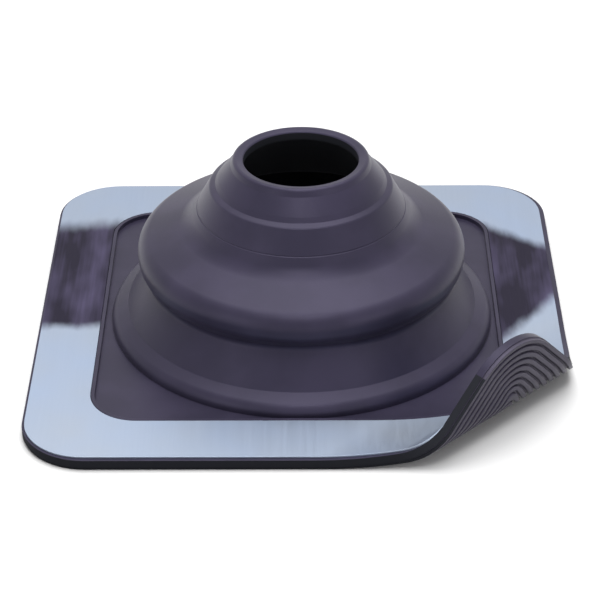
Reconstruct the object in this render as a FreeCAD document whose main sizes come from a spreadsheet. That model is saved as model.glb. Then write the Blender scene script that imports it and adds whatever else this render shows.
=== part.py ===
"""Roof flashing boot for a round pipe: a ribbed EPDM moulding with a soft aluminium rim.

Frame: millimetres, +Z up. The boot's axis is the Z axis and the ribbed underside lies in
the plane z = 0. The front right corner of the flange is lifted, as the soft rim holds it.
"""
import FreeCAD
import Part
import math
import os

import Sketcher

FreeCAD.newDocument("pipe_flashing_boot")
doc = FreeCAD.ActiveDocument
V = FreeCAD.Vector

# ---------------------------------------------------------------- driving dimensions
# alias, value in mm or degrees, what it is
SIZES = [
    ("flange_side", 280.0, "side of the square rubber flange"),
    ("flange_corner", 34.0, "radius of the flange's corners"),
    ("groove_depth", 2.1, "depth of the grooves between the sealing ribs"),
    ("web_thick", 3.9, "rubber between the grooves and the rim"),
    ("rim_thick", 1.0, "thickness of the aluminium rim"),
    ("rim_margin", 2.0, "rubber that shows outside the rim"),
    ("rim_shift", 0.7, "how far the rim was bonded off centre, towards -X"),
    ("window_corner", 25.0, "radius of the window's corners"),
    ("panel_margin", 2.6, "recessed panel that shows between the bead and the lip"),
    ("lip_wide", 2.0, "width of the raised rubber lip inside the window"),
    ("lip_gap", 0.2, "clearance between that lip and the rim"),
    ("panel_drop", 2.4, "depth of the recessed panel under the rim's top"),
    ("groove_wide", 1.5, "width of a groove between two ribs"),
    ("groove_pitch", 4.8, "distance from one groove to the next"),
    ("groove_first", 5.1, "from the flange's edge to the middle of the first groove"),
    ("groove_rows", 8.0, "number of grooves that run round inside each other"),
    ("groove_turn", 3.0, "smallest corner radius of a groove"),
    ("edge_inset", 0.8, "how far the ribs stand in from the flange's edge"),
    ("edge_rise", 1.8, "height of that inset"),
    ("overlap", 0.9, "how far pieces of one moulding run into each other"),
    ("fold_margin", 1.0, "from the sealing ring to where the lifted corner leaves the plane"),
    ("lead_radius", 118.0, "radius of the gentle first bend"),
    ("lead_angle", 14.2, "angle of the gentle first bend, degrees"),
    ("fold_radius", 16.2, "radius of the tight second bend"),
    ("flap_angle", 85.5, "angle at which the corner ends up standing, degrees"),
    ("fold_depth", 3.0, "depth under the rim's top that keeps its length in the bend"),
    ("wall", 3.6, "thickness of the boot's wall"),
    ("hole_radius", 30.0, "radius of the hole for the pipe"),
    ("hole_land", 5.2, "length of the straight wall in the hole"),
    ("collar_wide", 5.1, "width of the collar round the hole"),
    ("collar_dish", 1.1, "how far the hole's edge lies under the collar's"),
    ("collar_chamfer", 1.1, "chamfer on the collar's outer edge"),
    ("collar_run", 1.6, "how far the collar's side widens downwards"),
    ("collar_rise", 4.0, "height of the collar's side"),
    ("upper_run", 6.5, "how far the upper cone widens"),
    ("upper_rise", 8.1, "height of the upper cone"),
    ("step_run", 4.1, "how far the step widens"),
    ("step_rise", 2.9, "height of the step"),
    ("middle_run", 12.3, "how far the middle cone widens"),
    ("middle_rise", 22.0, "height of the middle cone"),
    ("shoulder_run", 27.6, "how far the shoulder widens"),
    ("shoulder_rise", 9.9, "height of the shoulder's slope"),
    ("side_run", 1.0, "how far the shoulder's side draws in"),
    ("side_rise", 12.4, "height of the shoulder's side"),
    ("tuck_run", 5.0, "how far the neck draws in under the shoulder"),
    ("tuck_rise", 6.4, "height of the slope under the shoulder"),
    ("base_run", 11.9, "how far the base wall widens"),
    ("base_rise", 19.4, "height of the base wall"),
    ("bead_run", 8.9, "width of the bead round the foot"),
    ("bead_rise", 4.4, "height of the bead's slope"),
    ("bead_height", 10.0, "height of the bead's outer edge"),
    ("land_wide", 1.0, "how far the plain sealing ring runs beyond the bead"),
    ("opening_run", 2.8, "how far the opening's edge lies outside the wall's foot"),
    ("opening_land", 3.0, "height of the opening's straight edge"),
    ("shoulder_round", 9.2, "rounding of the shoulder's upper edge"),
]

sheet = doc.addObject("Spreadsheet::Sheet", "sizes")
for row, (alias, value, note) in enumerate(SIZES, start=1):
    sheet.set(f"A{row}", alias)
    sheet.set(f"B{row}", str(value))
    sheet.setAlias(f"B{row}", alias)
    sheet.set(f"C{row}", note)
doc.recompute()


def size(alias):
    return float(sheet.get(alias))


def bind(item, prop, formula):
    """Binds a property to a formula in the sheet's aliases, each written as {alias}."""
    names = {alias: f"sizes.{alias}" for alias, _, _ in SIZES}
    item.setExpression(prop, formula.format(**names))


# ---------------------------------------------------------------- sketches and bodies
def new_body(name):
    return doc.addObject("PartDesign::Body", name)


def new_sketch(body, name, plane):
    sketch = body.newObject("Sketcher::SketchObject", name)
    support = [f for f in body.Origin.OriginFeatures if f.Role == plane]
    sketch.AttachmentSupport = (support[0], [""])
    sketch.MapMode = "FlatFace"
    return sketch


def dimension(sketch, kind, *where, formula, start):
    """Adds a dimension to a sketch and binds it to a formula."""
    index = sketch.addConstraint(Sketcher.Constraint(kind, *where, start))
    bind(sketch, f"Constraints[{index}]", formula)


def rounded_square(sketch, reach, corner, shift):
    """Draws a square of a half side, with round corners, moved by shift along X."""
    half, turn = value_of(reach), value_of(corner)
    left, right = value_of(shift) - half, value_of(shift) + half
    ends = [
        (V(left + turn, -half), V(right - turn, -half)),
        (V(right, -half + turn), V(right, half - turn)),
        (V(right - turn, half), V(left + turn, half)),
        (V(left, half - turn), V(left, -half + turn)),
    ]
    centres = [
        V(right - turn, -half + turn),
        V(right - turn, half - turn),
        V(left + turn, half - turn),
        V(left + turn, -half + turn),
    ]
    lines = [sketch.addGeometry(Part.LineSegment(a, b)) for a, b in ends]
    arcs = []
    for index, centre in enumerate(centres):
        circle = Part.Circle(centre, V(0, 0, 1), turn)
        first = math.radians(-90 + 90 * index)
        arcs.append(sketch.addGeometry(Part.ArcOfCircle(circle, first, first + math.pi / 2)))
    for index in range(4):
        after = lines[(index + 1) % 4]
        sketch.addConstraint(Sketcher.Constraint("Tangent", lines[index], 2, arcs[index], 1))
        sketch.addConstraint(Sketcher.Constraint("Tangent", arcs[index], 2, after, 1))
    for index, kind in enumerate(("Horizontal", "Vertical", "Horizontal", "Vertical")):
        sketch.addConstraint(Sketcher.Constraint(kind, lines[index]))
    for arc in arcs[1:]:
        sketch.addConstraint(Sketcher.Constraint("Equal", arcs[0], arc))
    dimension(sketch, "Radius", arcs[0], formula=corner, start=turn)
    dimension(sketch, "DistanceY", lines[0], 1, -1, 1, formula=reach, start=half)
    dimension(sketch, "DistanceY", -1, 1, lines[2], 1, formula=reach, start=half)
    dimension(
        sketch, "DistanceX", -1, 1, lines[1], 1, formula=f"{reach} + {shift}", start=right
    )
    dimension(
        sketch, "DistanceX", lines[3], 1, -1, 1, formula=f"{reach} - ({shift})", start=-left
    )


def value_of(formula):
    """Works out a formula in the sheet's aliases, as bind writes it."""
    return float(sheet.evalExpression(formula.format(**{a: a for a, _, _ in SIZES})))


def plate(name, squares, low, high):
    """A flat plate or ring between two heights: the first square is its outline."""
    body = new_body(name)
    sketch = new_sketch(body, f"{name}_outline", "XY_Plane")
    bind(sketch, "AttachmentOffset.Base.z", low)
    for reach, corner, shift in squares:
        rounded_square(sketch, reach, corner, shift)
    doc.recompute()
    pad = body.newObject("PartDesign::Pad", f"{name}_pad")
    pad.Profile = sketch
    bind(pad, "Length", f"({high}) - ({low})")
    doc.recompute()
    return body


def rounded_corner(before, corner, after, radius):
    """Where an arc that rounds a corner starts and ends, and the arc."""
    back, ahead = (before - corner).normalize(), (after - corner).normalize()
    half_angle = back.getAngle(ahead) / 2
    run = radius / math.tan(half_angle)
    centre = corner + (back + ahead).normalize() * (radius / math.sin(half_angle))
    start, end = corner + back * run, corner + ahead * run
    turn = (start - centre).cross(end - centre).z
    first, last = (start, end) if turn > 0 else (end, start)
    angles = [math.atan2(spot.y - centre.y, spot.x - centre.x) for spot in (first, last)]
    arc = Part.ArcOfCircle(Part.Circle(centre, V(0, 0, 1), radius), *angles)
    return start, end, arc, turn > 0


def lathe(name, corners):
    """A solid turned about the Z axis, from corners given as radius, height and rounding."""
    body = new_body(name)
    sketch = new_sketch(body, f"{name}_profile", "XZ_Plane")
    spots = [V(value_of(radius), value_of(height), 0) for radius, height, _ in corners]
    count = len(spots)
    starts, ends, arcs = list(spots), list(spots), {}
    for index, (_, _, rounding) in enumerate(corners):
        if rounding:
            around = spots[index - 1], spots[index], spots[(index + 1) % count]
            start, end, arc, forward = rounded_corner(*around, value_of(rounding))
            starts[index], ends[index], arcs[index] = start, end, (arc, forward)
    for index in range(count):
        sketch.addGeometry(Part.LineSegment(ends[index], starts[(index + 1) % count]))
    for index, (radius, height, rounding) in enumerate(corners):
        before = (index - 1) % count
        where = (index, 1)
        if rounding:
            arc, forward = arcs[index]
            curve = sketch.addGeometry(arc)
            where = (sketch.addGeometry(Part.Point(spots[index]), True), 1)
            first, last = (1, 2) if forward else (2, 1)
            sketch.addConstraint(Sketcher.Constraint("Tangent", before, 2, curve, first))
            sketch.addConstraint(Sketcher.Constraint("Tangent", curve, last, index, 1))
            sketch.addConstraint(Sketcher.Constraint("PointOnObject", *where, before))
            sketch.addConstraint(Sketcher.Constraint("PointOnObject", *where, index))
            dimension(sketch, "Radius", curve, formula=rounding, start=value_of(rounding))
        else:
            sketch.addConstraint(Sketcher.Constraint("Coincident", before, 2, *where))
        dimension(sketch, "DistanceX", -1, 1, *where, formula=radius, start=spots[index].x)
        dimension(sketch, "DistanceY", -1, 1, *where, formula=height, start=spots[index].y)
    doc.recompute()
    turned = body.newObject("PartDesign::Revolution", f"{name}_turned")
    turned.Profile = sketch
    turned.ReferenceAxis = (sketch, ["V_Axis"])
    turned.Angle = 360
    doc.recompute()
    return body


# ---------------------------------------------------------------- radii and heights
# The boot's outside, as formulas: radii from the hole outwards, heights from the bead up.
COLLAR_R = "{hole_radius} + {collar_wide}"
UPPER_R = f"{COLLAR_R} + {{collar_run}}"
VALLEY_R = f"{UPPER_R} + {{upper_run}}"
STEP_R = f"{VALLEY_R} + {{step_run}}"
FLARE_R = f"{STEP_R} + {{middle_run}}"
SHOULDER_R = f"{FLARE_R} + {{shoulder_run}}"
TUCK_R = f"{SHOULDER_R} - {{side_run}}"
NECK_R = f"{TUCK_R} - {{tuck_run}}"
FOOT_R = f"{NECK_R} + {{base_run}}"
BEAD_R = f"{FOOT_R} + {{bead_run}}"
LAND_R = f"{BEAD_R} + {{land_wide}}"
OPENING_R = f"{FOOT_R} + {{opening_run}}"
FOOT_Z = "{bead_height} + {bead_rise}"
NECK_Z = f"{FOOT_Z} + {{base_rise}}"
TUCK_Z = f"{NECK_Z} + {{tuck_rise}}"
SHOULDER_Z = f"{TUCK_Z} + {{side_rise}}"
FLARE_Z = f"{SHOULDER_Z} + {{shoulder_rise}}"
STEP_Z = f"{FLARE_Z} + {{middle_rise}}"
VALLEY_Z = f"{STEP_Z} + {{step_rise}}"
UPPER_Z = f"{VALLEY_Z} + {{upper_rise}}"
COLLAR_Z = f"{UPPER_Z} + {{collar_rise}}"
HOLE_Z = f"{COLLAR_Z} - {{collar_dish}}"
LAND_Z = f"{HOLE_Z} - {{hole_land}}"

# The flange's levels, and the half sides of its squares.
RIM = "{groove_depth} + {web_thick}"
TOP = f"{RIM} + {{rim_thick}}"
PANEL_HALF = f"{BEAD_R} + {{panel_margin}}"
LIP_HALF = f"{PANEL_HALF} + {{lip_wide}}"
WINDOW_HALF = f"{LIP_HALF} + {{lip_gap}}"
RIM_HALF = "{flange_side} / 2 - {rim_margin}"
LIP_CORNER = "{window_corner} - {lip_gap}"
PANEL_CORNER = f"{LIP_CORNER} - {{lip_wide}}"
RIM_CORNER = "{flange_corner} - {rim_margin}"
SHIFT = "0 - {rim_shift}"

# ---------------------------------------------------------------- the lifted corner
# Spots of the flat flange are given by two distances from the axis: along the diagonal to
# the front right corner, and across it. Heights are counted up from the rim's top.
DIAGONAL = math.sqrt(2)
LEAD = math.radians(size("lead_angle"))
STAND = math.radians(size("flap_angle"))
FOLD_START = value_of(f"{LAND_R} + {{fold_margin}}")
TIGHT_START = FOLD_START + size("lead_radius") * LEAD
FOLD_END = TIGHT_START + size("fold_radius") * (STAND - LEAD)
RIM_TOP = value_of(TOP)
CLEAR = 1.0  # how far a shape that cuts or trims reaches past the other


def bent(along, across, height):
    """Carries a spot of the flat flange to where the lifted corner holds it."""
    turn = 0.0
    reach = min(along, FOLD_START)
    rise = 0.0
    stages = [
        (FOLD_START, size("lead_radius"), LEAD),
        (TIGHT_START, size("fold_radius"), STAND - LEAD),
    ]
    for start, radius, angle in stages:
        part = min(max(along - start, 0) / radius, angle)
        reach += radius * (math.sin(turn + part) - math.sin(turn))
        rise += radius * (math.cos(turn) - math.cos(turn + part))
        turn += part
    beyond = max(along - FOLD_END, 0)
    reach += beyond * math.cos(turn)
    rise += beyond * math.sin(turn)
    above = height + size("fold_depth")
    reach -= above * math.sin(turn)
    rise += above * math.cos(turn) - size("fold_depth")
    return V((reach + across) / DIAGONAL, (across - reach) / DIAGONAL, RIM_TOP + rise)


def edge_of(run, height):
    """The edge along a run: two spots are a line, three an arc, more a smooth curve."""
    spots = [bent(along, across, height) for along, across in run]
    if len(spots) == 2:
        return Part.LineSegment(*spots).toShape()
    if len(spots) == 3:
        return Part.Arc(*spots).toShape()
    curve = Part.BSplineCurve()
    curve.interpolate(Points=spots, Parameters=[i / (len(spots) - 1) for i in range(len(spots))])
    return curve.toShape()


def ends_of(edge):
    return edge.valueAt(edge.FirstParameter), edge.valueAt(edge.LastParameter)


def skin(run_a, run_b, height):
    """The face between two runs at one height."""
    edge_a, edge_b = edge_of(run_a, height), edge_of(run_b, height)
    if len(run_a) > 3:
        return Part.makeRuledSurface(edge_a, edge_b)
    (start_a, end_a), (start_b, end_b) = ends_of(edge_a), ends_of(edge_b)
    last = Part.LineSegment(end_a, end_b).toShape()
    first = Part.LineSegment(start_b, start_a).toShape()
    return Part.Face(Part.Wire([edge_a, last, edge_b, first]))


def side(run, low, high):
    """The face along a run between two heights."""
    edge_a, edge_b = edge_of(run, low), edge_of(run, high)
    if len(run) > 3:
        return Part.makeRuledSurface(edge_a, edge_b)
    return edge_a.extrude(ends_of(edge_b)[0] - ends_of(edge_a)[0])


def solid_of(faces):
    shell = Part.Compound(faces)
    shell.sewShape()
    solid = Part.Solid(shell.Shells[0])
    if solid.Volume < 0:
        solid.reverse()
    return solid


def reach_of(half, corner):
    """How far along the diagonal a rounded square's straight edges run."""
    return DIAGONAL * half - corner / DIAGONAL


def line_run(half, first, last, nudge=0.0):
    """A run of the straight edge between two distances along the diagonal."""
    count = 2 if first >= FOLD_END + nudge else 9
    steps = [first + (last - first) * i / (count - 1) for i in range(count)]
    return [(along, DIAGONAL * half - along) for along in steps]


def arc_run(half, corner, first, last, count):
    """A run of the corner's arc between two angles off the diagonal."""
    centre = DIAGONAL * (half - corner)
    steps = [math.radians(first + (last - first) * i / (count - 1)) for i in range(count)]
    return [(centre + corner * math.cos(a), corner * math.sin(a)) for a in steps]


def moved(run, shift):
    """A run carried by shift towards -X."""
    return [(along - shift / DIAGONAL, across - shift / DIAGONAL) for along, across in run]


def mirrored(run):
    return [(along, -across) for along, across in run]


def bent_strip(low, high):
    """An endless strip between two heights, bent about the diagonal as the corner is."""
    end = FOLD_END + size("flange_side") / 2
    halves = []
    for height in (low, high):
        stops = [FOLD_START, TIGHT_START, FOLD_END]
        edges = []
        for first, last in zip(stops, stops[1:]):
            middle = (first + last) / 2
            edges.append(edge_of([(first, 0), (middle, 0), (last, 0)], height))
        edges.append(edge_of([(FOLD_END, 0), (end, 0)], height))
        halves.append(edges)
    for along in (FOLD_START, end):
        halves.append([Part.LineSegment(bent(along, 0, low), bent(along, 0, high)).toShape()])
    section = Part.Face(Part.Wire(Part.__sortEdges__(sum(halves, []))))
    across = V(1, 1, 0).normalize() * size("flange_side")
    section.translate(-across)
    return section.extrude(across * 2)


def corner_patch(half, corner, shift, low, high):
    """What a rounded square covers beyond the fold's start, between two heights."""
    reach = reach_of(half, corner)
    nudge = shift / DIAGONAL
    stops = [stop + nudge for stop in (FOLD_START, TIGHT_START, FOLD_END)]
    stops = [stop for stop in stops if stop < reach - CLEAR] + [reach]
    runs = [line_run(half, first, last, nudge) for first, last in zip(stops, stops[1:])]
    runs.append(arc_run(half, corner, 45, 1, 3 if reach > FOLD_END + nudge else 12))
    under, over = low - CLEAR, high + CLEAR
    faces = []
    for run in runs:
        left, right = moved(run, shift), moved(mirrored(run), shift)
        faces += [skin(left, right, under), skin(left, right, over)]
        faces += [side(left, under, over), side(right, under, over)]
    for spot in (runs[0][0], runs[-1][-1]):
        faces.append(side(moved([spot, (spot[0], -spot[1])], shift), under, over))
    return bent_strip(low, high).common(solid_of(faces))


def plain_runs(half, corner):
    """The runs of a rounded square that stay level, from the front to the right side."""
    far = half - corner
    centres = [(-far, -far), (-far, far), (far, far)]
    runs = []
    spot = (DIAGONAL * FOLD_START - half, -half)
    for index, (x, y) in enumerate(centres):
        arc = []
        for angle in (270, 225, 180):
            swing = math.radians(angle - 90 * index)
            arc.append((x + corner * math.cos(swing), y + corner * math.sin(swing)))
        runs += [[spot, arc[0]], arc]
        spot = arc[-1]
    runs.append([spot, (half, half - DIAGONAL * FOLD_START)])
    return [[((x - y) / DIAGONAL, (x + y) / DIAGONAL) for x, y in run] for run in runs]


def lifted_runs(half, corner, least):
    """The runs over the lifted corner; least is the shorter reach of the ring's two edges."""
    stops = [stop for stop in (FOLD_START, TIGHT_START, FOLD_END) if stop < least - CLEAR]
    stops.append(reach_of(half, corner))
    rising = []
    for first, last in zip(stops, stops[1:]):
        rising.append(line_run(half, first, last))
    over = arc_run(half, corner, 45, -45, 3 if least > FOLD_END else 13)
    falling = [mirrored(run)[::-1] for run in rising[::-1]]
    return rising + [over] + falling


def ring(outer, inner, low, high):
    """A closed ring that follows the flange's edge between two distances inside it."""
    turn = size("groove_turn")
    pairs = []
    for inset in (outer, inner):
        pairs.append((size("flange_side") / 2 - inset, max(size("flange_corner") - inset, turn)))
    least = min(reach_of(*pair) for pair in pairs)
    loops = []
    for half, corner in pairs:
        loops.append(lifted_runs(half, corner, least) + plain_runs(half, corner)[::-1])
    faces = []
    for run_a, run_b in zip(*loops):
        faces += [skin(run_a, run_b, low), skin(run_a, run_b, high)]
        faces += [side(run_a, low, high), side(run_b, low, high)]
    return solid_of(faces)


def computed(name, shape):
    item = doc.addObject("Part::Feature", name)
    item.Shape = shape
    return item


def joined(kind, name, **links):
    item = doc.addObject(kind, name)
    for prop, value in links.items():
        setattr(item, prop, value)
    doc.recompute()
    return item


# ---------------------------------------------------------------- the flat flange
slab = plate("slab", [("{flange_side} / 2", "{flange_corner}", "0")], "0", RIM)
lip = plate("lip", [(LIP_HALF, LIP_CORNER, SHIFT)], f"{RIM} - {{overlap}}", TOP)
recess_levels = (f"{TOP} - {{panel_drop}}", f"{TOP} + {{panel_drop}}")
recess = plate("recess", [(PANEL_HALF, PANEL_CORNER, SHIFT)], *recess_levels)

opening = doc.addObject("Part::Cylinder", "opening")
bind(opening, "Radius", f"({OPENING_R} + {LAND_R}) / 2")
bind(opening, "Height", f"3 * ({TOP})")
bind(opening, "Placement.Base.z", f"0 - ({TOP})")

beyond = doc.addObject("Part::Box", "beyond")
bind(beyond, "Length", "{flange_side}")
bind(beyond, "Width", "2 * {flange_side}")
bind(beyond, "Height", "{flange_side}")
beyond.Placement = FreeCAD.Placement(V(0, 0, 0), FreeCAD.Rotation(V(0, 0, 1), -45))
bind(beyond, "Placement.Base.x", f"({LAND_R} + {{fold_margin}} - {{flange_side}}) / sqrt(2)")
bind(beyond, "Placement.Base.y", f"(0 - ({LAND_R} + {{fold_margin}}) - {{flange_side}}) / sqrt(2)")
bind(beyond, "Placement.Base.z", "0 - {flange_side} / 2")

flat_top = joined("Part::MultiFuse", "flat_top", Shapes=[slab, lip])
flat_cuts = joined("Part::MultiFuse", "flat_cuts", Shapes=[recess, opening, beyond])
flat = joined("Part::Cut", "flat_flange", Base=flat_top, Tool=flat_cuts)

# ---------------------------------------------------------------- the flange's corner
under = -RIM_TOP
rim_under = -size("rim_thick")
shift = size("rim_shift")
corner_slab = corner_patch(size("flange_side") / 2, size("flange_corner"), 0, under, rim_under)
lip_levels = (rim_under - size("overlap"), 0)
corner_lip = corner_patch(value_of(LIP_HALF), value_of(LIP_CORNER), shift, *lip_levels)
panel_levels = (-size("panel_drop"), size("panel_drop"))
corner_recess = corner_patch(value_of(PANEL_HALF), value_of(PANEL_CORNER), shift, *panel_levels)
corner = computed("corner", corner_slab.fuse(corner_lip).cut(corner_recess))
flange = joined("Part::MultiFuse", "flange", Shapes=[flat, corner])

# ---------------------------------------------------------------- the ribs underneath
cutters = [ring(-2 * CLEAR, size("edge_inset"), under - 2 * CLEAR, under + size("edge_rise"))]
for row in range(int(size("groove_rows"))):
    middle = size("groove_first") + row * size("groove_pitch")
    half_wide = size("groove_wide") / 2
    cutters.append(
        ring(middle - half_wide, middle + half_wide, under - CLEAR, under + size("groove_depth"))
    )
grooves = computed("grooves", Part.Compound(cutters))
ribbed = joined("Part::Cut", "ribbed_flange", Base=flange, Tool=grooves)

# ---------------------------------------------------------------- the boot
LAND_TOP = "{groove_depth} + {overlap}"
# Corners of the hollow: the outside corner each goes with, and how many times the wall's
# thickness it lies inwards and upwards of it.
HOLLOW = [
    (NECK_R, NECK_Z, 1.22, 0.07),
    (TUCK_R, TUCK_Z, 0.97, 0.38),
    (SHOULDER_R, SHOULDER_Z, 1.6, -0.9),
    (FLARE_R, FLARE_Z, 0.69, -0.81),
    (UPPER_R, LAND_Z, 0.78, 0),
]
PROFILE = [
    ("{hole_radius}", HOLE_Z, None),
    (f"{COLLAR_R} - {{collar_chamfer}}", COLLAR_Z, None),
    (COLLAR_R, f"{COLLAR_Z} - {{collar_chamfer}}", None),
    (UPPER_R, UPPER_Z, None),
    (VALLEY_R, VALLEY_Z, None),
    (STEP_R, STEP_Z, None),
    (FLARE_R, FLARE_Z, None),
    (SHOULDER_R, SHOULDER_Z, "{shoulder_round}"),
    (TUCK_R, TUCK_Z, None),
    (NECK_R, NECK_Z, None),
    (FOOT_R, FOOT_Z, None),
    (BEAD_R, "{bead_height}", None),
    (BEAD_R, LAND_TOP, None),
    (LAND_R, LAND_TOP, None),
    (LAND_R, "0", None),
    (OPENING_R, "0", None),
    (OPENING_R, "{opening_land}", None),
    *(
        (f"{radius} - {inwards} * {{wall}}", f"{height} + ({upwards}) * {{wall}}", None)
        for radius, height, inwards, upwards in HOLLOW
    ),
    ("{hole_radius}", LAND_Z, None),
]
boot = lathe("boot", PROFILE)

rubber_boot = joined("Part::MultiFuse", "rubber_boot", Shapes=[ribbed, boot])

# ---------------------------------------------------------------- the aluminium rim
squares = [(RIM_HALF, RIM_CORNER, SHIFT), (WINDOW_HALF, "{window_corner}", SHIFT)]
rim = plate("rim", squares, RIM, TOP)
flat_rim = joined("Part::Cut", "flat_rim", Base=rim, Tool=beyond)
rim_patch = corner_patch(value_of(RIM_HALF), value_of(RIM_CORNER), shift, rim_under, 0)
window_levels = (2 * rim_under, -rim_under)
window_patch = corner_patch(value_of(WINDOW_HALF), size("window_corner"), shift, *window_levels)
corner_rim = computed("corner_rim", rim_patch.cut(window_patch))
aluminium_frame = joined("Part::MultiFuse", "aluminium_frame", Shapes=[flat_rim, corner_rim])

# ---------------------------------------------------------------- checks and export
doc.recompute()
for item in doc.Objects:
    if "Invalid" in item.State or "Error" in item.State:
        raise RuntimeError(f"{item.Name} did not build")

os.makedirs("parts", exist_ok=True)
for item in (rubber_boot, aluminium_frame):
    item.Label = item.Name
    item.Placement = FreeCAD.Placement()
    if item.Shape.isNull() or not item.Shape.isValid():
        raise RuntimeError(f"{item.Name} is not a sound shape")
    item.Shape.exportStep(f"parts/{item.Name}.step")
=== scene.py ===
"""Dresses the pipe flashing boot: an EPDM moulding on a ribbed flange with an aluminium rim."""
import math

import bmesh
import bpy
from mathutils import Matrix, Vector


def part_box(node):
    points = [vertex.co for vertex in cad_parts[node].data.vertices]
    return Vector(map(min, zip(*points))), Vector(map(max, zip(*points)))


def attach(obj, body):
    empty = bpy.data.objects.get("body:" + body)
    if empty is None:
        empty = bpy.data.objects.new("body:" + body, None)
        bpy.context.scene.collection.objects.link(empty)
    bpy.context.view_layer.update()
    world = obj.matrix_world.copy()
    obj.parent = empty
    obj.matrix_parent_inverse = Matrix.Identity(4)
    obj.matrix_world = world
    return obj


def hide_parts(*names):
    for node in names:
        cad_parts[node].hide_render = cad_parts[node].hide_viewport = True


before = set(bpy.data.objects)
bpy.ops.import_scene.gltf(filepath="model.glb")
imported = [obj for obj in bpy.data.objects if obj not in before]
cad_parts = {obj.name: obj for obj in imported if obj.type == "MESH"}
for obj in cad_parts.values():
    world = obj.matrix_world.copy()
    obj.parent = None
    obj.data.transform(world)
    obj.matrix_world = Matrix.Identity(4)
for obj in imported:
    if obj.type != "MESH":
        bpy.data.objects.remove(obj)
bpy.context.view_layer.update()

bl_info = {
    "name": "Pipe flashing boot",
    "version": (1, 0, 0),
    "blender": (4, 5, 0),
    "location": "View3D > Sidebar > Flashing",
    "description": "Models a rubber flashing boot for a round pipe, and a studio to show it in",
    "category": "Object",
}

MM = 0.001
DIAGONAL = math.sqrt(2)
BOOT_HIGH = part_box("rubber_boot")[1]

# Modelling: how far apart merged points may lie, the height between squares while they are
# bridged, the steps of a rounded corner and of both bends, and which edges count as sharp.
MERGE = 0.001 * MM
STOREY = 10 * MM
CORNER_STEPS = 14
LEAD_STEPS = 8
FOLD_STEPS = 20
EDGE_STEPS = 2
EDGE_ANGLE = math.radians(35)
SHADE_ANGLE = math.radians(40)
# Height of the punch that clears the flange's middle for the boot.
PUNCH_HIGH = 100 * MM

# The boot's outside, in mm: radius and height of each corner, from the bead upwards.
BEAD = (102.0, 10.0)
FOOT = (93.1, 14.4)
NECK = (81.2, 33.8)
TUCK = (86.2, 40.2)
SHOULDER = (87.2, 52.6)
FLARE = (59.6, 62.5)
STEP = (47.9, 83.6)
LEDGE = (44.9, 84.9)
VALLEY = (43.2, 87.4)
UPPER = (36.7, 95.5)
COLLAR = (35.1, 99.5)
# Heights in mm of the hole's straight wall, and of the upright edge at the boot's foot.
HOLE_TOP = 98.4
HOLE_FOOT = 93.2
SKIRT = 3.0
# The hollow's corners, downwards: the corner outside, how far the hollow's lies from it
# across and up, in walls, its rounding in mm and the rounding's steps.
HOLLOW = (
    ((UPPER[0], HOLE_FOOT), -0.78, 0, 1.0, 4),
    (FLARE, -0.69, -0.81, 10.0, 6),
    (SHOULDER, -1.6, -0.9, 5.0, 6),
    (TUCK, -0.97, 0.38, 4.0, 4),
    (NECK, -1.22, 0.07, 4.0, 4),
)

# Where painted shade goes, as a black colour on the rubber: inside the boot up to this height,
# and on the flange's side up to this far into the bend, as far in from its outline as the ribs'
# inset and its rounding.
HOLLOW_LOW, HOLLOW_TOP = 0.5 * MM, 97.6 * MM
SHADED_SIDE_RUN = 27 * MM
SHADED_SIDE_DEEP = 1.5 * MM

# The painted reflection on each side strip of the rim, a dark band that stands in for a dark
# surround mirrored in the metal, lies past all of its lines: the direction to go, and where it
# starts and is whole along that direction, in mm.
LEFT_PAINTED_REFLECTION = (((-1, 0, 0), 96, 103), ((0.1, -1, 0), -116, -98), ((0, 1, 0), -18, -8))
RIGHT_PAINTED_REFLECTION = (((1, 0, 0), 100, 106), ((-0.6, -0.8, 0), -145, -134), ((-0.82, 0.58, 0), -110, -100))
PAINTED_REFLECTION_WANDER = Vector((5, 9, 0)) * MM

# The mould's spark grain is really about 0.1 mm, too fine to see here, so it is drawn coarser.
GRAIN = 0.8 * MM

# The studio, in metres. The paper starts to glow at the first distance from the object and
# glows fully at the second.
FLOOR_SIDE = 12.0
FLOOR_LEVEL = -0.05 * MM
GLOW_FROM, GLOW_TO = 0.22, 0.8
# Each softbox: name, the setting with its power, its place, its target and its side.
SOFTBOXES = (
    ("overhead_softbox", "overhead", (0.0, 0.1, 1.15), (0, 0, 0), 1.0),
    ("front_softbox", "front", (0.0, -0.62, 1.02), (0, 0, 0.04), 0.32),
    ("left_softbox", "side", (-0.9, -0.95, 0.3), (0, 0, 0.05), 0.5),
    ("right_softbox", "side", (0.9, -0.95, 0.3), (0, 0, 0.05), 0.5),
)
CAMERA = Vector((5.3, -1061.7, 662.0)) * MM
TARGET = Vector((-0.9, 8.5, 7.0)) * MM
CAMERA_ROLL = math.radians(-0.322)
SENSOR_WIDTH = 36


# ---------------------------------------------------------------- sizes and colours
def linear(hex_colour):
    """Turns an sRGB hex colour to the linear values that shaders and lamps take."""
    channels = [int(hex_colour[i:i + 2], 16) / 255 for i in (1, 3, 5)]
    return tuple(c / 12.92 if c <= 0.04045 else ((c + 0.055) / 1.055) ** 2.4 for c in channels)


def length(name, description, default):
    """A length in mm that the panel shows."""
    return bpy.props.FloatProperty(
        name=name, description=description, default=default * MM, unit="LENGTH", precision=5
    )


def angle(name, description, degrees):
    """An angle in degrees that the panel shows."""
    return bpy.props.FloatProperty(
        name=name, description=description, default=math.radians(degrees), subtype="ANGLE"
    )


def colour(name, description, hex_colour):
    """A colour that the panel shows, from its sRGB hex value."""
    return bpy.props.FloatVectorProperty(
        name=name, description=description, default=linear(hex_colour), subtype="COLOR", size=3
    )


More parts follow.
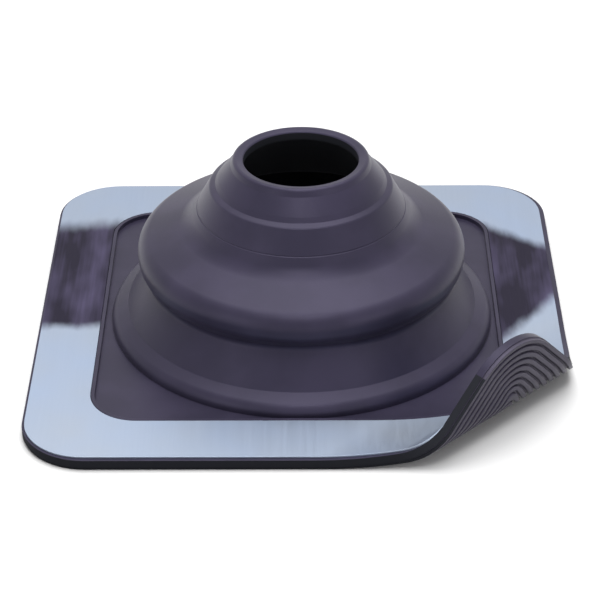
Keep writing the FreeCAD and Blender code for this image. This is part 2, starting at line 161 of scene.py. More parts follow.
class BootSizes(bpy.types.PropertyGroup):
    """Sizes of the stepped boot."""

    hole_radius: length("Hole radius", "Radius of the hole for the pipe", 30.0)
    wall: length("Wall", "Thickness of the boot's wall", 3.6)
    land_radius: length("Land radius", "Outer radius of the plain sealing ring underneath", 103.0)
    opening_radius: length("Opening radius", "Radius of the boot's open underside", 95.9)
    mark_radius: length("Cutting line radius", "Where the line to cut along runs", 54.8)
    mark_wide: length("Cutting line width", "Width of the line to cut along", 1.0)
    mark_deep: length("Cutting line depth", "Depth of the line to cut along", 0.25)
    turns: bpy.props.IntProperty(name="Steps", description="Steps round the boot", default=144)


class FlangeSizes(bpy.types.PropertyGroup):
    """Sizes of the square flange and its sealing ribs."""

    side: length("Side", "Side of the flange", 2 * BOOT_HIGH.y / MM)
    corner: length("Corner radius", "Radius of the flange's corners", 34.0)
    thick: length("Thickness", "Rubber under the aluminium rim", 6.0)
    top: length("Rim level", "Height of the aluminium rim's top", 7.0)
    panel: length("Panel level", "Height of the recessed panel round the boot", 4.6)
    panel_half: length("Panel half side", "Half the side of the recessed panel", 104.6)
    panel_corner: length("Panel corner", "Radius of the panel's corners", 22.8)
    lip_wide: length("Lip width", "Width of the rubber lip beside the rim", 2.0)
    shift: length("Rim shift", "How far rim and panel sit off centre along X", -0.7)
    foot_inset: length("Foot inset", "How far the ribs stand in from the flange's edge", 0.8)
    foot_rise: length("Foot height", "Height of that inset", 1.8)
    groove_deep: length("Groove depth", "Depth of the grooves between the ribs", 1.5)
    groove_mouth: length("Groove mouth", "Width of a groove at the ribs' crests", 1.5)
    groove_floor: length("Groove floor", "Width of a groove at its bottom", 0.7)
    groove_first: length("First groove", "From the flange's edge to the first groove", 3.5)
    groove_pitch: length("Groove pitch", "From one groove to the next", 3.75)
    groove_turn: length("Groove corner", "Smallest corner radius of a groove", 5.0)
    groove_rows: bpy.props.IntProperty(name="Grooves", description="Rows of grooves", default=11)
    edge_round: length("Edge rounding", "Rounding of the moulding's edges", 0.3)


class FoldSizes(bpy.types.PropertyGroup):
    """How the flange's front right corner is lifted."""

    start: length("Start", "Where the lifted corner leaves the plane", 104.0)
    lead_radius: length("Lead radius", "Radius of the gentle first bend", 118.0)
    lead_angle: angle("Lead angle", "Angle of the gentle first bend", 14.2)
    fold_radius: length("Fold radius", "Radius of the tight second bend", 16.2)
    flap_angle: angle("Flap angle", "Angle at which the corner ends up standing", 85.5)
    depth: length("Neutral depth", "Depth under the rim's top that keeps its length", 3.0)


class RimSizes(bpy.types.PropertyGroup):
    """Sizes of the soft aluminium rim."""

    half: length("Half side", "Half the side of the rim", 138.0)
    corner: length("Corner radius", "Radius of the rim's corners", 32.0)
    window_half: length("Window half side", "Half the side of its window", 106.8)
    window_corner: length("Window corner", "Radius of the window's corners", 25.0)
    edge_round: length("Edge rounding", "Rounding of the cut edges", 0.18)


class Finishes(bpy.types.PropertyGroup):
    """Colours of the rubber and the aluminium."""

    rubber: colour("Rubber", "Charcoal EPDM", "#2b2838")
    bloom: colour("Bloom", "Where the rubber has bloomed a little paler", "#343042")
    # The ribs' colours are paler than the rubber: painted light on the flange's underside, with
    # random paler patches.
    ribs: colour("Ribs", "Rubber of the sealing ribs, dulled by talc", "#45414f")
    talc_and_painted_light: colour("Talc", "Where the talc lies thicker on the ribs", "#524e5b")
    # Inside: painted shade, a black colour for the hollow and for the flange's level outer side.
    inside: colour("Inside", "Dark skin of the hollow and the trimmed edge", "#26272d")
    glint: colour("Glint", "Cold tint of the rubber's gloss", "#e3dcff")
    metal: colour("Aluminium", "Clean rolled aluminium", "#9aa9c2")
    metal_warm: colour("Aluminium, greyer", "Greyer streaks in the sheet", "#a1a8b2")
    # These two colours are a painted reflection: dark colours that stand in for a dark surround
    # mirrored in the side strips.
    painted_reflection: colour("Oxide film", "Dark film on the side strips", "#272333")
    painted_reflection_pale: colour("Oxide film, thin", "The film where it is thin", "#534d68")


class StudioSettings(bpy.types.PropertyGroup):
    """The floor, the lamps and the view."""

    floor: colour("Floor", "Pale floor", "#ffffff")
    bounce: colour("Bounce", "How pale the floor is as a source of light", "#6c6c6c")
    lens: bpy.props.FloatProperty(name="Lens", description="Focal length, mm", default=138.66)
    overhead: bpy.props.FloatProperty(name="Overhead", description="Softbox power, W", default=12.0)
    front: bpy.props.FloatProperty(name="Front", description="Front lamp power, W", default=2.6)
    side: bpy.props.FloatProperty(name="Side", description="Side lamps' power, W", default=1.5)
    fill: bpy.props.FloatProperty(name="Fill", description="Light from all round", default=0.38)


GROUPS = (
    ("flashing_boot", BootSizes),
    ("flashing_flange", FlangeSizes),
    ("flashing_fold", FoldSizes),
    ("flashing_rim", RimSizes),
    ("flashing_finishes", Finishes),
    ("flashing_studio", StudioSettings),
)


# ---------------------------------------------------------------- modelling by hand
def begin_piece(name):
    """Starts a piece at the origin, in edit mode, from a plane 1 mm wide."""
    bpy.ops.object.select_all(action="DESELECT")
    bpy.ops.mesh.primitive_plane_add(size=1 * MM, location=(0, 0, 0))
    piece = bpy.context.object
    piece.name = name
    bpy.ops.object.mode_set(mode="EDIT")
    bpy.ops.mesh.select_mode(type="VERT")
    return piece


def select_spots(piece, chosen):
    """Selects the vertices whose numbers are in chosen, and the edges between them."""
    bpy.ops.mesh.select_all(action="DESELECT")
    work = bmesh.from_edit_mesh(piece.data)
    work.verts.ensure_lookup_table()
    for number in chosen:
        work.verts[number].select = True
    work.select_flush(True)
    bmesh.update_edit_mesh(piece.data)


def nearest_spot(piece, place):
    """The number of the vertex that lies nearest to a place."""
    work = bmesh.from_edit_mesh(piece.data)
    return min(work.verts, key=lambda vert: (vert.co - place).length).index


def draw_profile(piece, corners):
    """Draws the closed outline of a wall in the XZ plane, one extruded point at a time."""
    bpy.ops.mesh.merge(type="CENTER")
    spots = [Vector((radius, 0, height)) * MM for radius, height, *_ in corners]
    bpy.ops.transform.translate(value=spots[0])
    for before, after in zip(spots, spots[1:]):
        bpy.ops.mesh.extrude_vertices_move(TRANSFORM_OT_translate={"value": after - before})
    select_spots(piece, [nearest_spot(piece, spots[0]), nearest_spot(piece, spots[-1])])
    bpy.ops.mesh.edge_face_add()
    for index, (_, _, rounding, steps) in enumerate(corners):
        if rounding:
            back = spots[index - 1] - spots[index]
            ahead = spots[(index + 1) % len(spots)] - spots[index]
            run = rounding * MM / math.tan(back.angle(ahead) / 2)
            select_spots(piece, [nearest_spot(piece, spots[index])])
            bpy.ops.mesh.bevel(
                offset=run, segments=steps, affect="VERTICES", profile=0.5, clamp_overlap=False
            )


def round_square(half, corner, height, shift, steps):
    """Adds a square with rounded corners as a closed line."""
    bpy.ops.mesh.primitive_plane_add(size=2 * half, location=(shift, 0, height))
    bpy.ops.mesh.bevel(offset=corner, segments=steps, affect="VERTICES", profile=0.5)
    bpy.ops.mesh.delete(type="ONLY_FACE")


def stack_squares(piece, squares, steps, closed):
    """Bridges rounded squares one to the next; closed joins the last to the first as well.

    The squares are bridged while they hang one above the other, because a bridge between
    two squares at one height can come out twisted, and then each is moved to its height.
    """
    bpy.ops.mesh.delete(type="VERT")
    for storey, (half, corner, _, shift) in enumerate(squares):
        round_square(half, corner, storey * STOREY, shift, steps)
    count = 4 * (steps + 1)
    loops = [range(i * count, (i + 1) * count) for i in range(len(squares))]
    pairs = list(zip(loops, loops[1:]))
    if closed:
        pairs.append((loops[-1], loops[0]))
    for one, other in pairs:
        select_spots(piece, [*one, *other])
        bpy.ops.mesh.bridge_edge_loops()
    if not closed:
        for loop in (loops[0], loops[-1]):
            select_spots(piece, loop)
            bpy.ops.mesh.edge_face_add()
    for storey, (loop, square) in enumerate(zip(loops, squares)):
        select_spots(piece, loop)
        bpy.ops.transform.translate(value=(0, 0, square[2] - storey * STOREY))


def close_shell():
    """Merges doubles, turns all faces outwards and leaves edit mode."""
    bpy.ops.mesh.select_all(action="SELECT")
    bpy.ops.mesh.remove_doubles(threshold=MERGE)
    bpy.ops.mesh.normals_make_consistent(inside=False)
    bpy.ops.object.mode_set(mode="OBJECT")


def apply_modifier(piece, kind, **settings):
    """Adds a modifier with its settings and applies it."""
    bpy.ops.object.select_all(action="DESELECT")
    piece.select_set(True)
    bpy.context.view_layer.objects.active = piece
    modifier = piece.modifiers.new(kind.title(), kind)
    for setting, value in settings.items():
        setattr(modifier, setting, value)
    bpy.ops.object.modifier_apply(modifier=modifier.name)


def carve(piece, tool, operation):
    """Joins a tool to a piece, or cuts it out of it, and removes the tool."""
    apply_modifier(piece, "BOOLEAN", object=tool, operation=operation, solver="EXACT")
    bpy.data.objects.remove(tool, do_unlink=True)


def finish_surface(piece):
    """Smooths the shading over all but the sharp edges."""
    bpy.ops.object.select_all(action="DESELECT")
    piece.select_set(True)
    bpy.context.view_layer.objects.active = piece
    bpy.ops.object.shade_smooth_by_angle(angle=SHADE_ANGLE, keep_sharp_edges=False)
    apply_modifier(piece, "WEIGHTED_NORMAL", keep_sharp=True, weight=80)


# ---------------------------------------------------------------- the lifted corner
def lifted(fold, top, spot):
    """Where a spot of the flat flange comes to lie once the corner is lifted."""
    along = (spot.x - spot.y) / DIAGONAL
    across = (spot.x + spot.y) / DIAGONAL
    stages = (
        (fold.start, fold.lead_radius, fold.lead_angle),
        (
            fold.start + fold.lead_radius * fold.lead_angle,
            fold.fold_radius,
            fold.flap_angle - fold.lead_angle,
        ),
    )
    reach, rise, turn = fold.start, 0.0, 0.0
    for start, radius, whole in stages:
        part = min(max(along - start, 0) / radius, whole)
        reach += radius * (math.sin(turn + part) - math.sin(turn))
        rise += radius * (math.cos(turn) - math.cos(turn + part))
        turn += part
    beyond = max(along - stages[1][0] - stages[1][1] * stages[1][2], 0)
    above = spot.z - top + fold.depth
    reach += beyond * math.cos(turn) - above * math.sin(turn)
    rise += beyond * math.sin(turn) + above * math.cos(turn) - fold.depth
    return Vector(((reach + across) / DIAGONAL, (across - reach) / DIAGONAL, top + rise))


def lift_corner(piece, fold, top):
    """Cuts the piece along the bend's lines, then bends its front right corner up."""
    lead = fold.lead_radius * fold.lead_angle
    tight = fold.fold_radius * (fold.flap_angle - fold.lead_angle)
    lines = [fold.start + lead * i / LEAD_STEPS for i in range(LEAD_STEPS)]
    lines += [fold.start + lead + tight * i / FOLD_STEPS for i in range(FOLD_STEPS + 1)]
    bpy.ops.object.mode_set(mode="EDIT")
    for line in lines:
        bpy.ops.mesh.select_all(action="SELECT")
        place = Vector((line, -line, 0)) / DIAGONAL
        bpy.ops.mesh.bisect(plane_co=place, plane_no=(1, -1, 0), threshold=MERGE)
    bpy.ops.object.mode_set(mode="OBJECT")
    for vert in piece.data.vertices:
        if (vert.co.x - vert.co.y) / DIAGONAL > fold.start:
            vert.co = lifted(fold, top, vert.co)
    piece.data.update()


# ---------------------------------------------------------------- materials
def add_node(tree, kind, settings=None, links=None):
    """Adds a node; links gives an input, by name or number, a socket to take or a value."""
    node = tree.nodes.new(kind)
    for name, value in (settings or {}).items():
        setattr(node, name, value)
    for name, value in (links or {}).items():
        target = node.inputs[name]
        if isinstance(value, bpy.types.NodeSocket):
            tree.links.new(value, target)
        else:
            target.default_value = value
    return node


def new_material(name):
    """An empty material made of nodes, and its tree."""
    material = bpy.data.materials.new(name)
    material.use_nodes = True
    material.node_tree.nodes.clear()
    return material, material.node_tree


def rgba(value):
    """A linear colour with full opacity, as a node's socket takes it."""
    return (*value, 1.0)


def moulded_epdm(name, dark, pale, glint):
    """EPDM rubber, compression moulded: satin charcoal with the mould's fine spark grain,
    in a dark colour, the pale one of its patches and the tint of its gloss."""
    material, tree = new_material(name)
    coords = add_node(tree, "ShaderNodeTexCoord").outputs["Object"]
    # Soft patches about 30 mm wide, where wax has bloomed or, on the ribs, talc lies thicker.
    cloud = add_node(
        tree, "ShaderNodeTexNoise", links={"Vector": coords, "Scale": 1 / (30 * MM), "Detail": 3.0}
    )
    bloom = add_node(
        tree,
        "ShaderNodeMapRange",
        {"interpolation_type": "SMOOTHSTEP"},
        {"Value": cloud.outputs["Fac"], "From Min": 0.35, "From Max": 0.7},
    )
    tint = add_node(
        tree,
        "ShaderNodeMix",
        {"data_type": "RGBA"},
        {"Factor": bloom.outputs["Result"], "A": rgba(dark), "B": rgba(pale)},
    )
    # Spark grain, in the gloss and as a shallow relief.
    grain = add_node(
        tree, "ShaderNodeTexNoise", links={"Vector": coords, "Scale": 1 / GRAIN, "Detail": 2.0}
    )
    gloss = add_node(
        tree,
        "ShaderNodeMapRange",
        links={"Value": grain.outputs["Fac"], "To Min": 0.36, "To Max": 0.46},
    )
    relief = add_node(
        tree,
        "ShaderNodeBump",
        links={"Height": grain.outputs["Fac"], "Strength": 0.25, "Distance": 0.06 * MM},
    )
    skin = add_node(
        tree,
        "ShaderNodeBsdfPrincipled",
        links={
            "Base Color": tint.outputs["Result"],
            "Roughness": gloss.outputs["Result"],
            "Normal": relief.outputs["Normal"],
            "IOR": 1.5,
            "Specular IOR Level": 0.3,
            "Specular Tint": rgba(glint),
            "Sheen Weight": 0.02,
            "Sheen Roughness": 0.4,
        },
    )
    add_node(tree, "ShaderNodeOutputMaterial", links={"Surface": skin.outputs["BSDF"]})
    return material


def painted_shade_epdm(finishes):
    """The same rubber, painted as shade inside the hollow and on the flange's level outer side: a
    flat black colour that gives back almost no light.
    """
    material, tree = new_material("hollow_epdm_rubber")
    coords = add_node(tree, "ShaderNodeTexCoord").outputs["Object"]
    # The core's spark grain, as coarse as it is outside.
    grain = add_node(
        tree, "ShaderNodeTexNoise", links={"Vector": coords, "Scale": 1 / GRAIN, "Detail": 2.0}
    )
    gloss = add_node(
        tree,
        "ShaderNodeMapRange",
        links={"Value": grain.outputs["Fac"], "To Min": 0.7, "To Max": 0.85},
    )
    skin = add_node(
        tree,
        "ShaderNodeBsdfPrincipled",
        links={
            "Base Color": rgba(finishes.inside),
            "Roughness": gloss.outputs["Result"],
            "IOR": 1.5,
            "Specular IOR Level": 0.1,
        },
    )
    add_node(tree, "ShaderNodeOutputMaterial", links={"Surface": skin.outputs["BSDF"]})
    return material


def past_lines(tree, coords, lines):
    """1 where a spot lies past every line, falling softly to 0 before each of them."""
    inside = None
    for direction, first, last in lines:
        distance = add_node(
            tree,
            "ShaderNodeVectorMath",
            {"operation": "DOT_PRODUCT"},
            {0: coords, 1: Vector(direction).normalized()},
        )
        passed = add_node(
            tree,
            "ShaderNodeMapRange",
            {"interpolation_type": "SMOOTHSTEP"},
            {"Value": distance.outputs["Value"], "From Min": first * MM, "From Max": last * MM},
        ).outputs["Result"]
        if inside:
            passed = add_node(
                tree, "ShaderNodeMath", {"operation": "MULTIPLY"}, {0: inside, 1: passed}
            ).outputs["Value"]
        inside = passed
    return inside


def rolled_aluminium(finishes):
    """Soft aluminium sheet, cold rolled: bright, with streaks along the rolling direction
    and a painted reflection: a darker band across each side strip that stands in for a dark
    surround mirrored there."""
    material, tree = new_material("rolled_soft_aluminium")
    coords = add_node(tree, "ShaderNodeTexCoord").outputs["Object"]
    # Rolling streaks: about 1.6 mm wide and 50 mm long, along Y.
    drawn = add_node(tree, "ShaderNodeMapping", links={"Vector": coords, "Scale": (1, 0.035, 1)})
    streak = add_node(
        tree,
        "ShaderNodeTexNoise",
        links={"Vector": drawn.outputs["Vector"], "Scale": 1 / (1.6 * MM), "Detail": 3.0},
    ).outputs["Fac"]
    # Slow changes of tone over about 45 mm, where the soft sheet isn't quite flat.
    cloud = add_node(
        tree, "ShaderNodeTexNoise", links={"Vector": coords, "Scale": 1 / (45 * MM), "Detail": 2.0}
    )
    # The painted reflection's edges wander by a few millimetres and follow the streaks.
    ragged = add_node(
        tree, "ShaderNodeMapping", links={"Vector": coords, "Scale": (1, 0.3, 1)}
    )
    wander = add_node(
        tree,
        "ShaderNodeTexNoise",
        links={"Vector": ragged.outputs["Vector"], "Scale": 1 / (7 * MM), "Detail": 3.0},
    )
    pushed = add_node(
        tree,
        "ShaderNodeVectorMath",
        {"operation": "MULTIPLY_ADD"},
        {0: wander.outputs["Color"], 1: PAINTED_REFLECTION_WANDER, 2: coords},
    )
    spot = pushed.outputs["Vector"]
    both = add_node(
        tree,
        "ShaderNodeMath",
        {"operation": "ADD"},
        {0: past_lines(tree, spot, LEFT_PAINTED_REFLECTION), 1: past_lines(tree, spot, RIGHT_PAINTED_REFLECTION)},
    )
    painted_reflection = both.outputs["Value"]
    clean = add_node(
        tree,
        "ShaderNodeMix",
        {"data_type": "RGBA"},
        {
            "Factor": cloud.outputs["Fac"],
            "A": rgba(finishes.metal),
            "B": rgba(finishes.metal_warm),
        },
    )
    # The painted reflection is uneven too, in patches about 16 mm wide that follow the streaks.
    patch = add_node(
        tree,
        "ShaderNodeTexNoise",
        links={"Vector": ragged.outputs["Vector"], "Scale": 1 / (16 * MM), "Detail": 2.5},
    )
    uneven = add_node(
        tree,
        "ShaderNodeMix",
        {"data_type": "FLOAT"},
        {"Factor": 0.8, "A": streak, "B": patch.outputs["Fac"]},
    )
    thin = add_node(
        tree,
        "ShaderNodeMapRange",
        links={"Value": uneven.outputs["Result"], "From Min": 0.4, "From Max": 0.68},
    )
    dark = add_node(
        tree,
        "ShaderNodeMix",
        {"data_type": "RGBA"},
        {
            "Factor": thin.outputs["Result"],
            "A": rgba(finishes.painted_reflection),
            "B": rgba(finishes.painted_reflection_pale),
        },
    )
    # Painted reflection: the dark band is mixed into the metal's colour here.
    tone = add_node(
        tree,
        "ShaderNodeMix",
        {"data_type": "RGBA"},
        {"Factor": painted_reflection, "A": clean.outputs["Result"], "B": dark.outputs["Result"]},
    )
    gloss = add_node(
        tree, "ShaderNodeMapRange", links={"Value": streak, "To Min": 0.46, "To Max": 0.58}
    )
    relief = add_node(
        tree,
        "ShaderNodeBump",
        links={"Height": streak, "Strength": 0.12, "Distance": 0.05 * MM},
    )
    skin = add_node(
        tree,
        "ShaderNodeBsdfPrincipled",
        links={
            "Base Color": tone.outputs["Result"],
            "Metallic": 1.0,
            "Roughness": gloss.outputs["Result"],
            "Normal": relief.outputs["Normal"],
        },
    )
    add_node(tree, "ShaderNodeOutputMaterial", links={"Surface": skin.outputs["BSDF"]})
    return material


def seen_directly(tree):
    """1 for what the camera sees, also in metal or through glass, and 0 for light."""
    path = add_node(tree, "ShaderNodeLightPath").outputs
    seen = path["Is Camera Ray"]
    for ray in ("Is Glossy Ray", "Is Transmission Ray"):
        seen = add_node(
            tree, "ShaderNodeMath", {"operation": "MAXIMUM"}, {0: seen, 1: path[ray]}
        ).outputs["Value"]
    return seen


def pale_floor(studio):
    """Matt white paper. Seen, it is white and keeps the object's shadow; as a source of
    bounced light it is only a pale grey, as a sheet on a dark bench is."""
    material, tree = new_material("matt_white_paper")
    coords = add_node(tree, "ShaderNodeTexCoord").outputs["Object"]
    distance = add_node(tree, "ShaderNodeVectorMath", {"operation": "LENGTH"}, {0: coords})
    # Further out, where the lamps fade, the paper stays white by itself.
    far = add_node(
        tree,
        "ShaderNodeMapRange",
        {"interpolation_type": "SMOOTHSTEP"},
        {"Value": distance.outputs["Value"], "From Min": GLOW_FROM, "From Max": GLOW_TO},
    )
    paper = add_node(tree, "ShaderNodeBsdfDiffuse", links={"Color": rgba(studio.floor)})
    glow = add_node(tree, "ShaderNodeEmission", links={"Strength": far.outputs["Result"]})
    seen = add_node(
        tree,
        "ShaderNodeAddShader",
        links={0: paper.outputs["BSDF"], 1: glow.outputs["Emission"]},
    )
    bounce = add_node(tree, "ShaderNodeBsdfDiffuse", links={"Color": rgba(studio.bounce)})
    whole = add_node(
        tree,
        "ShaderNodeMixShader",
        links={0: seen_directly(tree), 1: bounce.outputs["BSDF"], 2: seen.outputs["Shader"]},
    )
    add_node(tree, "ShaderNodeOutputMaterial", links={"Surface": whole.outputs["Shader"]})
    return material


# ---------------------------------------------------------------- shapes and faces
def lines_hollow(mesh, face, boot):
    """Whether a face of the moulding lines the hollow: it looks towards the boot's axis."""
    away = face.center.xy
    reach = max(mesh.vertices[number].co.xy.length for number in face.vertices)
    below_lip = HOLLOW_LOW < face.center.z < HOLLOW_TOP
    return reach < boot.opening_radius + MM and below_lip and face.normal.xy.dot(away) < 0


def is_shaded_side(face, flange, fold):
    """Whether a face is the flange's level outer side, which gets painted shade."""
    centre = face.center
    straight = flange.side / 2 - flange.corner
    past_straight = Vector((max(abs(centre.x) - straight, 0), max(abs(centre.y) - straight, 0)))
    level = (centre.x - centre.y) / DIAGONAL < fold.start + SHADED_SIDE_RUN
    upright = abs(face.normal.z) < 0.5
    return level and upright and past_straight.length > flange.corner - SHADED_SIDE_DEEP


def is_ribbed(face, boot, flange):
    """Whether a face belongs to the sealing ribs, outside the plain ring."""
    return face.center.z < flange.foot_rise and face.center.xy.length > boot.land_radius


def flange_squares(flange):
    """The flange's squares from the panel outwards and back under the ribs:
    half side, corner radius, height and shift of each."""
    half = flange.side / 2
    lip = flange.panel_half + flange.lip_wide
    lip_corner = flange.panel_corner + flange.lip_wide
    squares = [
        (flange.panel_half, flange.panel_corner, flange.panel, flange.shift),
        (flange.panel_half, flange.panel_corner, flange.top, flange.shift),
        (lip, lip_corner, flange.top, flange.shift),
        (lip, lip_corner, flange.thick, flange.shift),
        (half, flange.corner, flange.thick, 0),
        (half, flange.corner, flange.foot_rise, 0),
        (half - flange.foot_inset, flange.corner - flange.foot_inset, flange.foot_rise, 0),
        (half - flange.foot_inset, flange.corner - flange.foot_inset, 0, 0),
    ]
    for row in range(flange.groove_rows):
        middle = flange.groove_first + row * flange.groove_pitch
        for side, wide, height in (
            (-0.5, flange.groove_mouth, 0),
            (-0.5, flange.groove_floor, flange.groove_deep),
            (0.5, flange.groove_floor, flange.groove_deep),
            (0.5, flange.groove_mouth, 0),
        ):
            inset = middle + side * wide
            corner = max(flange.corner - inset, flange.groove_turn)
            squares.append((half - inset, corner, height, 0))
    return squares


def boot_profile(boot):
    """The boot's wall in section, in mm: radius, height, rounding and its steps."""
    hole = boot.hole_radius / MM
    wall = boot.wall / MM
    land = boot.land_radius / MM
    opening = boot.opening_radius / MM
    step = Vector(STEP)
    down = (Vector(FLARE) - step).normalized()
    inward = Vector((down.y, -down.x))
    mark = step + down * (boot.mark_radius / MM - step.x) / down.x
    mark_half = down * boot.mark_wide / MM / 2
    mark_floor = mark + inward * boot.mark_deep / MM
    inside = [
        (corner[0] + across * wall, corner[1] + up * wall, rounding, steps)
        for corner, across, up, rounding, steps in HOLLOW
    ]
    return [
        (BEAD[0], SKIRT, 0, 0),
        (*BEAD, 6.4, 8),
        (*FOOT, 0.8, 3),
        (*NECK, 4.0, 6),
        (*TUCK, 8.0, 6),
        (*SHOULDER, 9.2, 10),
        (*FLARE, 14.0, 8),
        (*(mark + mark_half), 0.2, 2),
        (*mark_floor, 0.2, 2),
        (*(mark - mark_half), 0.2, 2),
        (*STEP, 2.0, 6),
        (*LEDGE, 0.8, 3),
        (*VALLEY, 1.2, 4),
        (*UPPER, 1.5, 4),
        (*COLLAR, 2.0, 6),
        (hole, HOLE_TOP, 1.2, 5),
        (hole, HOLE_FOOT, 1.0, 4),
        *inside,
        (opening, SKIRT, 1.5, 3),
        (opening, 0.0, 0.5, 3),
        (land, 0.0, 0.5, 3),
        (land, SKIRT, 0, 0),
    ]


# ---------------------------------------------------------------- light and camera
def camera_place(place, target, roll):
    """The camera's matrix, looking at a target and rolled about its line of sight."""
    back = (place - target).normalized()
    right = Vector((0, 0, 1)).cross(back).normalized()
    up = back.cross(right)
    turn = Matrix((right, up, back)).transposed().to_4x4() @ Matrix.Rotation(roll, 4, "Z")
    return Matrix.Translation(place) @ turn


def light_room(scene, studio):
    """Soft light from all round, and a white background where the room is seen."""
    scene.world = bpy.data.worlds.new("white_room")
    scene.world.use_nodes = True
    tree = scene.world.node_tree
    tree.nodes.clear()
    soft = add_node(
        tree, "ShaderNodeBackground", links={"Color": rgba((1, 1, 1)), "Strength": studio.fill}
    )
    white = add_node(tree, "ShaderNodeBackground", links={"Color": rgba((1, 1, 1))})
    room = add_node(
        tree,
        "ShaderNodeMixShader",
        links={
            0: seen_directly(tree),
            1: soft.outputs["Background"],
            2: white.outputs["Background"],
        },
    )
    add_node(tree, "ShaderNodeOutputWorld", links={"Surface": room.outputs["Shader"]})


def add_softbox(name, place, target, side, power):
    """Hangs a square softbox at a place, turned to a target."""
    bpy.ops.object.light_add(type="AREA", location=place)
    lamp = bpy.context.object
    lamp.name = name
    lamp.data.size = side
    lamp.data.energy = power
    aim = Vector(place) - Vector(target)
    lamp.rotation_euler = aim.to_track_quat("Z", "Y").to_euler()


# ---------------------------------------------------------------- operators and panel
class FLASHING_OT_moulding(bpy.types.Operator):
    """Models the boot and its ribbed flange as one rubber moulding"""

    bl_idname = "flashing.moulding"
    bl_label = "Rubber moulding"

    def execute(self, context):
        scene = context.scene
        boot, flange, fold = scene.flashing_boot, scene.flashing_flange, scene.flashing_fold
        plate = begin_piece("flange_moulding")
        stack_squares(plate, flange_squares(flange), CORNER_STEPS, closed=False)
        close_shell()
        apply_modifier(
            plate,
            "BEVEL",
            width=flange.edge_round,
            segments=EDGE_STEPS,
            limit_method="ANGLE",
            angle_limit=EDGE_ANGLE,
            use_clamp_overlap=False,
        )
        bpy.ops.object.select_all(action="DESELECT")
        bpy.ops.mesh.primitive_cylinder_add(
            radius=(boot.land_radius + boot.opening_radius) / 2,
            depth=PUNCH_HIGH,
            vertices=boot.turns,
        )
        carve(plate, bpy.context.object, "DIFFERENCE")
        shell = begin_piece("boot_moulding")
        draw_profile(shell, boot_profile(boot))
        bpy.ops.mesh.select_all(action="SELECT")
        bpy.ops.mesh.spin(
            steps=boot.turns, angle=2 * math.pi, center=(0, 0, 0), axis=(0, 0, 1)
        )
        close_shell()
        carve(plate, shell, "UNION")
        plate.name = "rubber_moulding"
        plate.data.materials.clear()
        finishes = scene.flashing_finishes
        # Three materials: the rubber; a black one that paints shade in the hollow and on the
        # flange's level outer side; and a paler one that paints light on the ribs, with random
        # paler patches.
        for material in (
            moulded_epdm("moulded_epdm_rubber", finishes.rubber, finishes.bloom, finishes.glint),
            painted_shade_epdm(finishes),
            moulded_epdm("dusted_epdm_rubber", finishes.ribs, finishes.talc_and_painted_light, finishes.glint),
        ):
            plate.data.materials.append(material)
        # Faces that get painted shade first, then the ribs that get painted light.
        for face in plate.data.polygons:
            if lines_hollow(plate.data, face, boot) or is_shaded_side(face, flange, fold):
                face.material_index = 1
            elif is_ribbed(face, boot, flange):
                face.material_index = 2
            else:
                face.material_index = 0
        lift_corner(plate, fold, flange.top)
        finish_surface(plate)
        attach(plate, "root")
        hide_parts("rubber_boot")
        return {"FINISHED"}


class FLASHING_OT_rim(bpy.types.Operator):
    """Models the soft aluminium rim on the flange"""

    bl_idname = "flashing.rim"
    bl_label = "Aluminium rim"

    def execute(self, context):
        scene = context.scene
        rim, flange, fold = scene.flashing_rim, scene.flashing_flange, scene.flashing_fold
        outer, window = (rim.half, rim.corner), (rim.window_half, rim.window_corner)
        squares = [
            (*outer, flange.thick, flange.shift),
            (*outer, flange.top, flange.shift),
            (*window, flange.top, flange.shift),
            (*window, flange.thick, flange.shift),
        ]
        piece = begin_piece("aluminium_rim")
        stack_squares(piece, squares, CORNER_STEPS, closed=True)
        close_shell()
        apply_modifier(
            piece,
            "BEVEL",
            width=rim.edge_round,
            segments=EDGE_STEPS,
            limit_method="ANGLE",
            angle_limit=EDGE_ANGLE,
        )
        lift_corner(piece, fold, flange.top)
        piece.data.materials.clear()
        piece.data.materials.append(rolled_aluminium(scene.flashing_finishes))
        finish_surface(piece)
        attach(piece, "root")
        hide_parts("aluminium_frame")
        return {"FINISHED"}


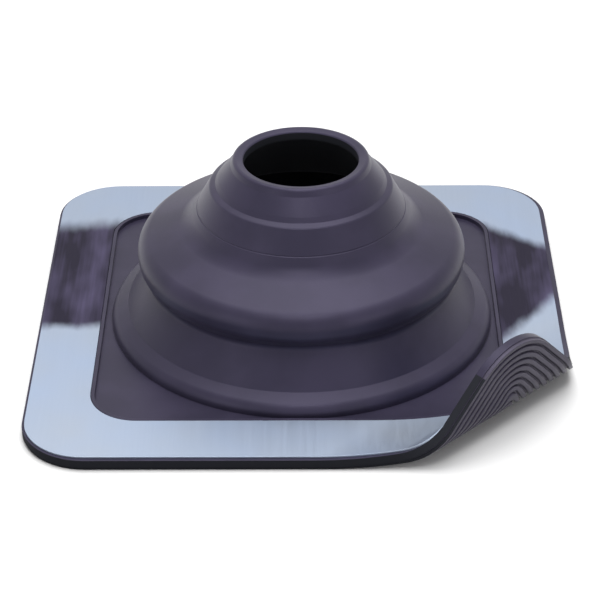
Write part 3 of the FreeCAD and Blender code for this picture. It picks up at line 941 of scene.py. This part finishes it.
class FLASHING_OT_studio(bpy.types.Operator):
    """Sets up the pale floor, the soft lamps and the camera"""

    bl_idname = "flashing.studio"
    bl_label = "Studio"

    def execute(self, context):
        scene = context.scene
        studio = scene.flashing_studio
        bpy.ops.object.select_all(action="DESELECT")
        bpy.ops.mesh.primitive_plane_add(size=FLOOR_SIDE, location=(0, 0, FLOOR_LEVEL))
        floor = context.object
        floor.name = "floor"
        floor.data.materials.append(pale_floor(studio))
        light_room(scene, studio)
        for name, setting, place, target, side in SOFTBOXES:
            add_softbox(name, place, target, side, getattr(studio, setting))
        bpy.ops.object.camera_add()
        camera = context.object
        camera.name = "studio_camera"
        camera.data.lens = studio.lens
        camera.data.sensor_width = SENSOR_WIDTH
        camera.matrix_world = camera_place(CAMERA, TARGET, CAMERA_ROLL)
        scene.camera = camera
        scene.view_settings.view_transform = "Standard"
        return {"FINISHED"}


class FLASHING_PT_panel(bpy.types.Panel):
    """Lists the steps that model the flashing boot"""

    bl_idname = "FLASHING_PT_panel"
    bl_label = "Flashing boot"
    bl_space_type = "VIEW_3D"
    bl_region_type = "UI"
    bl_category = "Flashing"

    def draw(self, context):
        for step in STEPS:
            self.layout.operator(step.bl_idname)
        for name, group in GROUPS:
            box = self.layout.box()
            box.label(text=group.__doc__)
            for setting in group.__annotations__:
                box.prop(getattr(context.scene, name), setting)


STEPS = (FLASHING_OT_moulding, FLASHING_OT_rim, FLASHING_OT_studio)


def register():
    """Registers the sizes, the steps and the panel."""
    for _, group in GROUPS:
        bpy.utils.register_class(group)
    for kind in (*STEPS, FLASHING_PT_panel):
        bpy.utils.register_class(kind)
    for name, group in GROUPS:
        setattr(bpy.types.Scene, name, bpy.props.PointerProperty(type=group))


def unregister():
    """Takes back all that register added."""
    for name, _ in GROUPS:
        delattr(bpy.types.Scene, name)
    for kind in (FLASHING_PT_panel, *STEPS):
        bpy.utils.unregister_class(kind)
    for _, group in GROUPS:
        bpy.utils.unregister_class(group)


def main():
    """Registers the steps and runs them in order."""
    register()
    bpy.ops.flashing.moulding()
    bpy.ops.flashing.rim()
    bpy.ops.flashing.studio()


if __name__ == "__main__":
    main()
